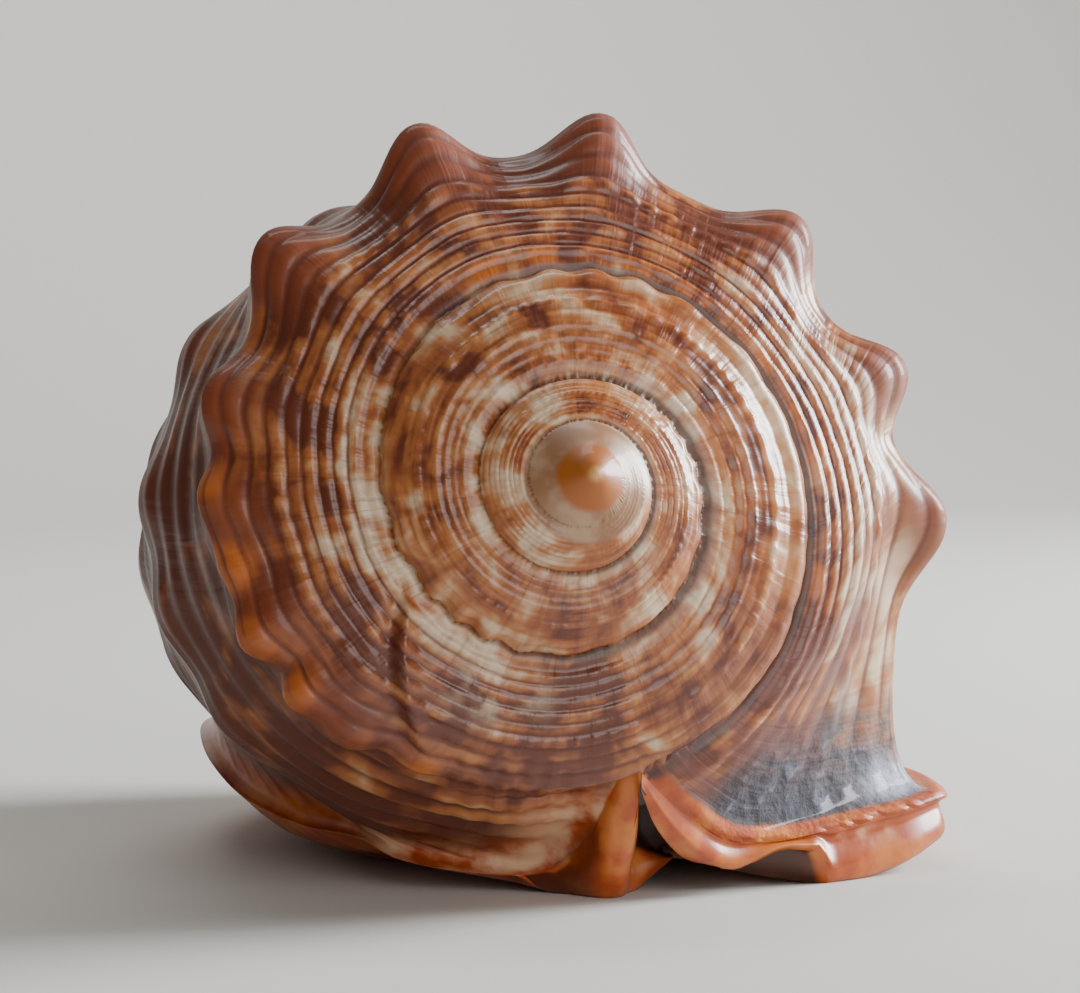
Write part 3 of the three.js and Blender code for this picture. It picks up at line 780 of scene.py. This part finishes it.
def polished_shell(colours):
    """Polished aragonite, as a big snail lays it down: brown flames and cream flecks that follow
    the whorls, under a thin clear glaze that gives soft wet highlights on every cord."""
    # Besides the shell's own colours it paints shade into the crevices and between the cords, a
    # reflection on the lip's corner, a highlight on the tip and light on the shield's front.
    material = bpy.data.materials.new("polished_aragonite_shell")
    material.use_nodes = True
    tree = material.node_tree
    tree.nodes.clear()
    whorl = add_node(tree, "ShaderNodeUVMap", {"uv_map": "whorl"}).outputs["UV"]
    spot = add_node(tree, "ShaderNodeTexCoord").outputs["Object"]
    marks = {name: add_node(tree, "ShaderNodeAttribute", {"attribute_name": name}).outputs["Fac"]
             for name in MARKS if name != "relief"}

    # Noises by their length along and width across the whorl in millimetres, with an offset that
    # sets them apart. Real growth lines are about 0.4 mm apart, which is too fine to show in the
    # render, so "line" is drawn at 1.6 mm.
    noises = {}
    sizes = (
        ("flame", 10, 24, 0), ("fleck", 7, 6, 3), ("cloud", 50, 34, 7), ("stripe", 50, 1.7, 11),
        ("dash", 6, 2.2, 13), ("line", 1.6, 18, 17),
    )
    for name, length, width, offset in sizes:
        stretch = (WHORL_LENGTH / length, WHORL_LENGTH / width, 1)
        mapped = add_node(tree, "ShaderNodeMapping", None,
                          {"Vector": whorl, "Location": (0, 0, offset), "Scale": stretch})
        noises[name] = add_node(tree, "ShaderNodeTexNoise", None, {
            "Vector": mapped.outputs[0], "Scale": 1.0, "Detail": 3.0, "Distortion": 0.3,
        }).outputs["Fac"]

    # Two noises in space, by their size in millimetres: clouds of the glaze, and worn pits.
    for name, size in (("grain", 6), ("pock", 2.6)):
        noises[name] = add_node(tree, "ShaderNodeTexNoise", None, {
            "Vector": spot, "Scale": 1 / (size * MM), "Detail": 4.0}).outputs["Fac"]

    # Tone of the wall: about 0.4 is dark brown, 0.5 orange brown and 0.6 cream.
    tone = marks["cream"]
    # The cord shade term darkens the tone between the cords as painted shade.
    shares = ((noises["fleck"], 0.72), (noises["stripe"], 0.16), (noises["flame"], 0.12),
              (marks["cord_shade"], -0.07))
    for part, share in shares:
        tone = add_node(tree, "ShaderNodeMath", {"operation": "MULTIPLY_ADD"},
                        {0: part, 1: share, 2: tone}).outputs[0]

    # Colours from the wall up, each with its strength and the bands in which it shows.
    layers = (
        (colours.wall_light, 0.6, (noises["stripe"], 0.5, 0.62)),
        (colours.flame, 0.92, (tone, 0.49, 0.39)),
        (colours.haze, 0.35, (noises["cloud"], 0.45, 0.7)),
        (colours.cord, 0.6, (tone, 0.49, 0.55)),
        (colours.cream, 0.85, (tone, 0.53, 0.65)),
        # Tan dashes on the cords' crests, where the painted cord shade is negative.
        (colours.cord, 0.6, (noises["dash"], 0.48, 0.62), (marks["cord_shade"], -0.1, -0.4)),
        (colours.flame, 0.3, (noises["line"], 0.52, 0.7)),
        (colours.knob, 0.9, (marks["knob"], 0.06, 0.7)),
        (colours.orange, 0.95, (noises["flame"], 0.36, 0.56), (marks["orange"], 0.1, 0.7)),
        # Painted shade: dark brown in the grooves between the cords.
        (colours.flame, 0.75, (marks["cord_shade"], 0.1, 0.5)),
        (colours.cream, 0.75, (noises["grain"], 0.42, 0.62), (marks["white"], 0, 1)),
        # Painted shade: dark brown in the suture's channel, the slit, the hollow behind the fold
        # and under the chipped rim.
        (colours.crevice_shade, 0.85, (marks["crevice_shade"], 0.25, 0.9)),
        (colours.ring, 0.95, (marks["nucleus"], 0.1, 0.17), (marks["crevice_shade"], 0.8, 0.3)),
        (colours.cream, 0.3, (marks["nucleus"], 0.1, 0.2), (noises["grain"], 0.46, 0.64)),
        (colours.nucleus, 1.0, (marks["nucleus"], 0.48, 0.58)),
        # Painted highlight: a pale yellow spot on the apex's tip.
        (colours.tip_highlight, 0.6, (marks["nucleus"], 0.84, 0.97)),
        (colours.haze, 0.8, (noises["grain"], 0.36, 0.6), (marks["haze"], 0, 1)),
        (colours.pits, 1.0, (noises["cloud"], 0.3, 0.5), (marks["pits"], 0, 1)),
        (colours.pits, 0.9, (noises["fleck"], 0.44, 0.56), (marks["pits"], 0, 0.45)),
        # Painted glints of bluish sheen over the pits of the gutter.
        (colours.painted_sheen, 0.22, (noises["pock"], 0.56, 0.7), (marks["pits"], 0, 1)),
        (colours.pit_floor, 0.9, (noises["pock"], 0.52, 0.4), (marks["pits"], 0, 1)),
        # Painted reflection: the bluish-white sheen of the lip's corner.
        (colours.painted_sheen, 1.0, (marks["painted_sheen"], 0, 1)),
        (colours.glaze, 1.0, (marks["glaze"], 0.2, 0.9)),
        (colours.glaze_light, 0.8, (noises["grain"], 0.4, 0.64), (marks["glaze"], 0, 1)),
        (colours.knob, 0.4, (noises["grain"], 0.5, 0.3), (marks["glaze"], 0, 1)),
        # Cream enamel, partly painted light on the shield's front and the lip's face.
        (colours.cream, 0.75, (noises["grain"], 0.36, 0.6), (marks["enamel_and_painted_light"], 0, 1)),
        # Painted shade again, over the glaze of the mouth.
        (colours.crevice_shade, 1.0, (marks["crevice_shade"], 0.1, 0.9), (marks["glaze"], 0, 1)),
    )
    colour = tuple(colours.wall)
    for tint, mask, *bands in layers:
        for value, low, high in bands:
            mask = add_node(tree, "ShaderNodeMapRange", {"interpolation_type": "SMOOTHSTEP"}, {
                "Value": value, "From Min": low, "From Max": high, "To Max": mask,
            }).outputs["Result"]
        colour = add_node(tree, "ShaderNodeMix", {"data_type": "RGBA"},
                          {0: mask, 6: colour, 7: tuple(tint)}).outputs[2]

    # Glossy all over, duller where it is worn, on the knobs, at the apex and in the grooves.
    rough = add_node(tree, "ShaderNodeMapRange", None,
                     {"Value": noises["grain"], "To Min": 0.24, "To Max": 0.44}).outputs["Result"]
    for name, dulled in (("pits", 0.5), ("knob", 0.3), ("nucleus", 0.15), ("crevice_shade", 0.15)):
        rough = add_node(tree, "ShaderNodeMath", {"operation": "MULTIPLY_ADD"},
                         {0: marks[name], 1: dulled, 2: rough}).outputs[0]

    # Growth lines stand up on the wall but not on the glaze, and the back of the lip is pitted.
    etched = add_node(tree, "ShaderNodeMapRange", None,
                      {"Value": marks["smooth"], "To Min": 0.45, "To Max": 0.05}).outputs["Result"]
    bump = add_node(tree, "ShaderNodeBump", None,
                    {"Height": noises["line"], "Strength": etched, "Distance": 0.0006})
    pock = add_node(tree, "ShaderNodeMath", {"operation": "MULTIPLY"},
                    {0: noises["pock"], 1: marks["pits"]})
    pocked = add_node(tree, "ShaderNodeBump", None,
                      {"Height": pock.outputs[0], "Strength": 0.7, "Distance": 0.0012,
                       "Normal": bump.outputs[0]})
    shader = add_node(tree, "ShaderNodeBsdfPrincipled", None, {
        "Base Color": colour, "Roughness": rough, "Normal": pocked.outputs[0], "IOR": 1.53,
        "Coat Weight": 0.2, "Coat Roughness": 0.1,
    })
    add_node(tree, "ShaderNodeOutputMaterial", None, {"Surface": shader.outputs[0]})
    return material


def plain_paper(colour):
    """Matt studio paper, rolled and uncoated: no gloss, a soft shadow and a faint tooth."""
    material = bpy.data.materials.new("matt_studio_paper")
    material.use_nodes = True
    tree = material.node_tree
    tree.nodes.clear()
    spot = add_node(tree, "ShaderNodeTexCoord").outputs["Object"]
    # Paper tooth is about 0.3 mm, which is too fine to show, so it is drawn at 3 mm.
    tooth = add_node(tree, "ShaderNodeTexNoise", None, {"Vector": spot, "Scale": 1 / (3 * MM)})
    bump = add_node(tree, "ShaderNodeBump", None,
                    {"Height": tooth.outputs["Fac"], "Strength": 0.1, "Distance": 0.0002})
    shader = add_node(tree, "ShaderNodeBsdfPrincipled", None, {
        "Base Color": tuple(colour), "Roughness": 0.9, "Normal": bump.outputs[0]})
    add_node(tree, "ShaderNodeOutputMaterial", None, {"Surface": shader.outputs[0]})
    return material


class ShellForm(bpy.types.PropertyGroup):
    """Sizes of the shell's relief."""

    knob_scale: bpy.props.FloatProperty(
        name="Knobs", description="Height of the knobs against the solid's", default=1.0,
        min=0.5, max=1.2, subtype="FACTOR")
    cord_scale: bpy.props.FloatProperty(
        name="Cords", description="Height of the spiral cords against the usual one", default=1.0,
        min=0.0, max=2.0, subtype="FACTOR")
    channel_depth: bpy.props.FloatProperty(
        name="Suture channel", description="Depth of the channel along the suture",
        default=0.0009, min=0.0, max=0.002, unit="LENGTH", precision=5)
    suture_wave: bpy.props.FloatProperty(
        name="Suture waves", description="Height of the waves of the suture",
        default=0.0004, min=0.0, max=0.001, unit="LENGTH", precision=5)
    tooth_height: bpy.props.FloatProperty(
        name="Teeth", description="Height of the teeth of the mouth", default=0.0012, min=0.0,
        max=0.002, unit="LENGTH", precision=5)


def colour_property(name, description, colour):
    return bpy.props.FloatVectorProperty(
        name=name, description=description, default=linear(colour), size=4, min=0.0, max=1.0,
        subtype="COLOR")


class ShellColours(bpy.types.PropertyGroup):
    """Colours of the shell."""

    wall: colour_property("Wall", "Orange brown of the wall", "#985326")
    wall_light: colour_property("Light wall", "Orange stripes of the wall", "#b2703a")
    flame: colour_property("Flames", "Dark red-brown stripes and flames", "#572008")
    haze: colour_property("Haze", "Purplish bloom of the wall", "#6e4138")
    cord: colour_property("Cords", "Dashes along the cords", "#b87a45")
    cream: colour_property("Flecks", "Cream flecks beside the suture", "#d3bb9c")
    knob: colour_property("Knobs", "Red-brown of the knobs", "#7a330a")
    # Painted shade, not a colour of the shell: the dark brown laid into its crevices.
    crevice_shade: colour_property("Grooves", "Dark brown in the suture and the mouth", "#35180a")
    orange: colour_property("Low shoulder", "Bright orange of the low shoulder", "#b8601c")
    ring: colour_property("First whorl", "Grey tan round the apex", "#8f6647")
    nucleus: colour_property("Apex", "Amber of the apex", "#9c5410")
    # Painted highlight on the apex, not a colour of the shell.
    tip_highlight: colour_property("Tip", "Pale yellow of the tip", "#d8b068")
    pits: colour_property("Gutter", "Grey back of the lip", "#34333d")
    pit_floor: colour_property("Pits", "Dark pits of the gutter", "#2f2a2d")
    # Painted reflection, not a colour of the shell.
    painted_sheen: colour_property("Corner", "Bluish glaze at the lip's corner", "#a3a8ba")
    glaze: colour_property("Glaze", "Orange glaze of the lip and the shield", "#a8440a")
    glaze_light: colour_property("Light glaze", "Pale orange clouds of the glaze", "#c47228")


class StageSettings(bpy.types.PropertyGroup):
    """Camera, light and floor."""

    azimuth: bpy.props.FloatProperty(
        name="Azimuth", description="Camera's turn round the shell", default=math.radians(-14),
        subtype="ANGLE")
    elevation: bpy.props.FloatProperty(
        name="Elevation", description="Camera's height as an angle", default=math.radians(3),
        subtype="ANGLE")
    distance: bpy.props.FloatProperty(
        name="Distance", description="Camera to apex, along the view", default=0.45,
        unit="LENGTH")
    window_power: bpy.props.FloatProperty(
        name="Window light", description="Power of the soft light from the right", default=39.0,
        unit="POWER")
    fill_power: bpy.props.FloatProperty(
        name="Fill light", description="Power of the soft light from the front", default=7.0,
        unit="POWER")
    sweep_power: bpy.props.FloatProperty(
        name="Sweep light", description="Power of the light on the paper behind", default=16.0,
        unit="POWER")
    room_strength: bpy.props.FloatProperty(
        name="Room light", description="Strength of the light all round", default=0.18, min=0.0)
    room: colour_property("Room", "Colour of the light all round", "#d2d3d4")
    floor: colour_property("Floor", "Colour of the paper floor", "#cfccc7")


class SHELL_OT_add_shell(bpy.types.Operator):
    """Model the shell from its coiling line"""

    bl_idname = "shell.add_shell"
    bl_label = "Add Shell"
    bl_options = {"REGISTER", "UNDO"}

    def execute(self, context):
        form = context.scene.shell_form
        makers = (nucleus_patch, spire_patch, last_whorl_patch, mouth_patch, canal_patch)
        patches = [make(form) for make in makers]
        bpy.ops.object.select_all(action="DESELECT")
        for patch in patches:
            patch.select_set(True)
        shell = patches[0]
        context.view_layer.objects.active = shell
        bpy.ops.object.join()
        bpy.ops.object.mode_set(mode="EDIT")
        bpy.ops.mesh.select_all(action="SELECT")
        bpy.ops.mesh.remove_doubles(threshold=WELD_DISTANCE)
        bpy.ops.mesh.normals_make_consistent(inside=False)
        bpy.ops.mesh.select_all(action="DESELECT")
        bpy.ops.mesh.select_non_manifold(use_non_contiguous=False, use_verts=False)
        bpy.ops.object.mode_set(mode="OBJECT")
        if shell.data.total_edge_sel:
            raise RuntimeError("The skin of the shell is not closed")
        shell.name = shell.data.name = "helmet_shell"
        raise_relief(shell)
        bpy.ops.object.shade_smooth()
        shell.data.materials.append(polished_shell(context.scene.shell_colours))
        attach(shell, "root")
        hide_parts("shell")
        return {"FINISHED"}


def light_aim(place, target):
    """Rotation that points a light from its place at a target."""
    return (Vector(target) - Vector(place)).to_track_quat("-Z", "Y").to_euler()


class SHELL_OT_set_stage(bpy.types.Operator):
    """Add the floor, the soft light and the camera"""

    bl_idname = "shell.set_stage"
    bl_label = "Set Stage"
    bl_options = {"REGISTER", "UNDO"}

    def execute(self, context):
        stage = context.scene.shell_stage
        bpy.ops.object.select_all(action="DESELECT")
        bpy.ops.mesh.primitive_grid_add(x_subdivisions=4, y_subdivisions=80, size=6)
        floor = context.object
        for vertex in floor.data.vertices:
            past = max(0.0, vertex.co.y - SWEEP_START)
            angle = min(past / SWEEP_RADIUS, math.pi / 2)
            vertex.co.y = min(vertex.co.y, SWEEP_START) + SWEEP_RADIUS * math.sin(angle)
            vertex.co.z = SWEEP_RADIUS * (1 - math.cos(angle)) + past - SWEEP_RADIUS * angle
        bpy.ops.object.shade_smooth()
        floor.name = "paper_floor"
        floor.data.materials.append(plain_paper(stage.floor))
        on_shell, on_paper = (0, 0, 0.05), (0, 1.6, 0.5)
        lights = (
            ("window_light", (1.0, 0.05, 0.42), on_shell, 0.5, stage.window_power, "#f6fbff"),
            ("fill_light", (0.2, -1.1, 0.42), on_shell, 0.75, stage.fill_power, "#fffbf7"),
            ("sweep_light", (0.0, 0.55, 1.5), on_paper, 1.0, stage.sweep_power, "#fffefb"),
        )
        for name, place, target, size, power, tint in lights:
            aim = light_aim(place, target)
            bpy.ops.object.light_add(type="AREA", location=place, rotation=aim)
            lamp = context.object
            lamp.name = name
            lamp.data.size = size
            lamp.data.energy = power
            lamp.data.color = linear(tint)[:3]
        world = bpy.data.worlds.new("pale_room")
        context.scene.world = world
        world.use_nodes = True
        backdrop = world.node_tree.nodes["Background"]
        backdrop.inputs["Color"].default_value = stage.room
        backdrop.inputs["Strength"].default_value = stage.room_strength
        self.add_camera(context, stage)
        return {"FINISHED"}

    def add_camera(self, context, stage):
        """Sets the camera so that the apex falls where the photograph has it."""
        sin_a, cos_a = math.sin(stage.azimuth), math.cos(stage.azimuth)
        sin_e, cos_e = math.sin(stage.elevation), math.cos(stage.elevation)
        ahead = np.array((-sin_a * cos_e, cos_a * cos_e, -sin_e))
        right = np.array((cos_a, sin_a, 0))
        above = np.cross(right, ahead)
        side = (APEX_PIXEL[0] - FRAME_WIDTH / 2) / FOCAL_LENGTH
        rise = (FRAME_HEIGHT / 2 - APEX_PIXEL[1]) / FOCAL_LENGTH
        eye = np.array(APEX) * MM - stage.distance * (ahead + side * right + rise * above)
        rotation = (math.pi / 2 - stage.elevation, 0, stage.azimuth)
        bpy.ops.object.camera_add(location=tuple(eye), rotation=rotation)
        camera = context.object
        camera.name = "photo_view"
        camera.data.sensor_width = SENSOR_WIDTH
        camera.data.lens = SENSOR_WIDTH * FOCAL_LENGTH / FRAME_WIDTH
        context.scene.camera = camera


class SHELL_PT_panel(bpy.types.Panel):
    """Sizes, colours and operators of the shell"""

    bl_idname = "SHELL_PT_panel"
    bl_label = "Helmet Shell"
    bl_space_type = "VIEW_3D"
    bl_region_type = "UI"
    bl_category = "Shell"

    def draw(self, context):
        layout, scene = self.layout, context.scene
        for group in (scene.shell_form, scene.shell_colours, scene.shell_stage):
            box = layout.box()
            for name in group.__annotations__:
                box.prop(group, name)
        layout.operator(SHELL_OT_add_shell.bl_idname)
        layout.operator(SHELL_OT_set_stage.bl_idname)


CLASSES = (
    ShellForm, ShellColours, StageSettings, SHELL_OT_add_shell, SHELL_OT_set_stage, SHELL_PT_panel,
)


def register():
    for cls in CLASSES:
        bpy.utils.register_class(cls)
    bpy.types.Scene.shell_form = bpy.props.PointerProperty(type=ShellForm)
    bpy.types.Scene.shell_colours = bpy.props.PointerProperty(type=ShellColours)
    bpy.types.Scene.shell_stage = bpy.props.PointerProperty(type=StageSettings)


def unregister():
    del bpy.types.Scene.shell_stage
    del bpy.types.Scene.shell_colours
    del bpy.types.Scene.shell_form
    for cls in reversed(CLASSES):
        bpy.utils.unregister_class(cls)


def main():
    register()
    bpy.ops.shell.add_shell()
    bpy.ops.shell.set_stage()


if __name__ == "__main__":
    main()
